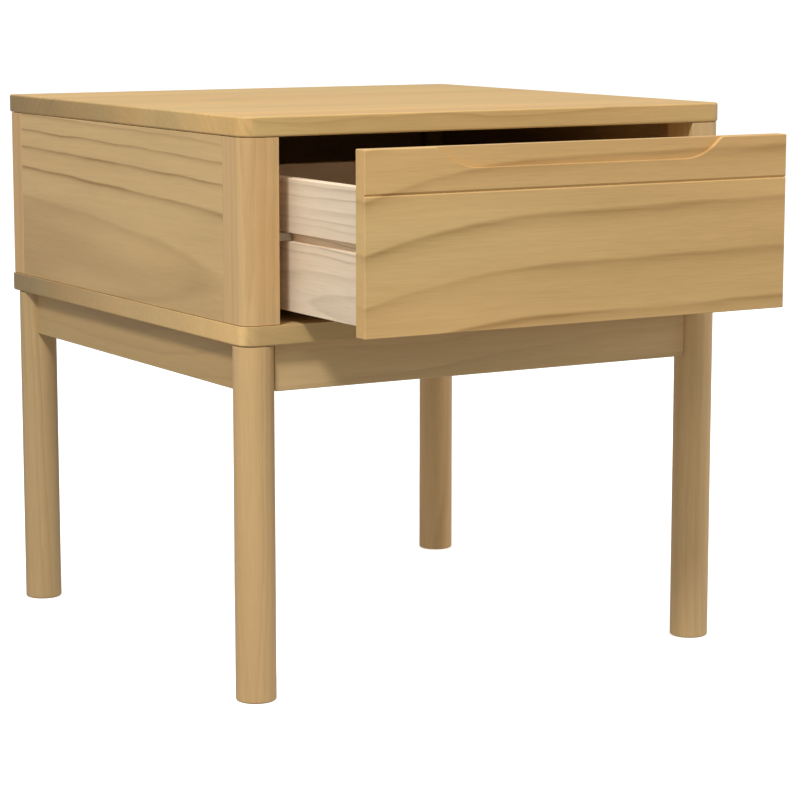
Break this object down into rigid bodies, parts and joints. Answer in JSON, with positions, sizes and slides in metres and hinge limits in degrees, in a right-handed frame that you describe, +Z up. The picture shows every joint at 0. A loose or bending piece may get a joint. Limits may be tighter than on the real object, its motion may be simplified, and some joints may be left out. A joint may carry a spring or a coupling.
{
  "type": "nightstand",
  "caption": "Square pine bedside table: a drawer with a carved finger pull slides in a case on turned round legs, shown part-way open.",
  "frame": {"origin": "on the floor, in the middle of the whole outline with the drawer pulled out as stored", "axes": "+Z up; the drawer opens towards -Y, which is the front; +X to the right seen from the front"},
  "size_m": [0.5, 0.6392, 0.505],
  "materials": {
    "finished_pine": "light brown wax, satin",
    "raw_pine": "unfinished, sanded",
    "plywood": "unfinished thin panel",
    "beech": "unfinished dowel",
    "steel": "zinc plated"
  },
  "bodies": {
    "case": {"apron_front": "finished_pine", "apron_left": "finished_pine", "apron_rear": "finished_pine", "apron_right": "finished_pine", "back_panel": "finished_pine", "base_screw_front_left": "steel", "base_screw_front_right": "steel", "base_screw_rear_left": "steel", "base_screw_rear_right": "steel", "case_floor": "finished_pine", "corner_block_front_left": "raw_pine", "corner_block_front_right": "raw_pine", "corner_block_rear_left": "raw_pine", "corner_block_rear_right": "raw_pine", "dowel_lower_front_left": "beech", "dowel_lower_front_right": "beech", "dowel_lower_rear_left": "beech", "dowel_lower_rear_right": "beech", "dowel_upper_front_left": "beech", "dowel_upper_front_right": "beech", "dowel_upper_rear_left": "beech", "dowel_upper_rear_right": "beech", "leg_bolt_front_left": "steel", "leg_bolt_front_right": "steel", "leg_bolt_rear_left": "steel", "leg_bolt_rear_right": "steel", "leg_front_left": "finished_pine", "leg_front_right": "finished_pine", "leg_rear_left": "finished_pine", "leg_rear_right": "finished_pine", "post_front_left": "finished_pine", "post_front_right": "finished_pine", "post_rear_left": "finished_pine", "post_rear_right": "finished_pine", "runner_left": "raw_pine", "runner_right": "raw_pine", "runner_screw_front_left": "steel", "runner_screw_front_right": "steel", "runner_screw_rear_left": "steel", "runner_screw_rear_right": "steel", "side_panel_left": "finished_pine", "side_panel_right": "finished_pine", "tabletop": "finished_pine"},
    "drawer": {"drawer_back": "raw_pine", "drawer_bottom": "plywood", "drawer_dowel_lower_left": "beech", "drawer_dowel_lower_right": "beech", "drawer_dowel_upper_left": "beech", "drawer_dowel_upper_right": "beech", "drawer_front": "finished_pine", "drawer_screw_lower_left": "steel", "drawer_screw_lower_right": "steel", "drawer_screw_upper_left": "steel", "drawer_screw_upper_right": "steel", "drawer_side_left": "raw_pine", "drawer_side_right": "raw_pine"}
  },
  "joints": [
    {"name": "drawer_slide", "type": "slide", "parent": "case", "child": "drawer", "axis": [0, -1, 0], "range_m": [-0.1403, 0.085]}
  ]
}
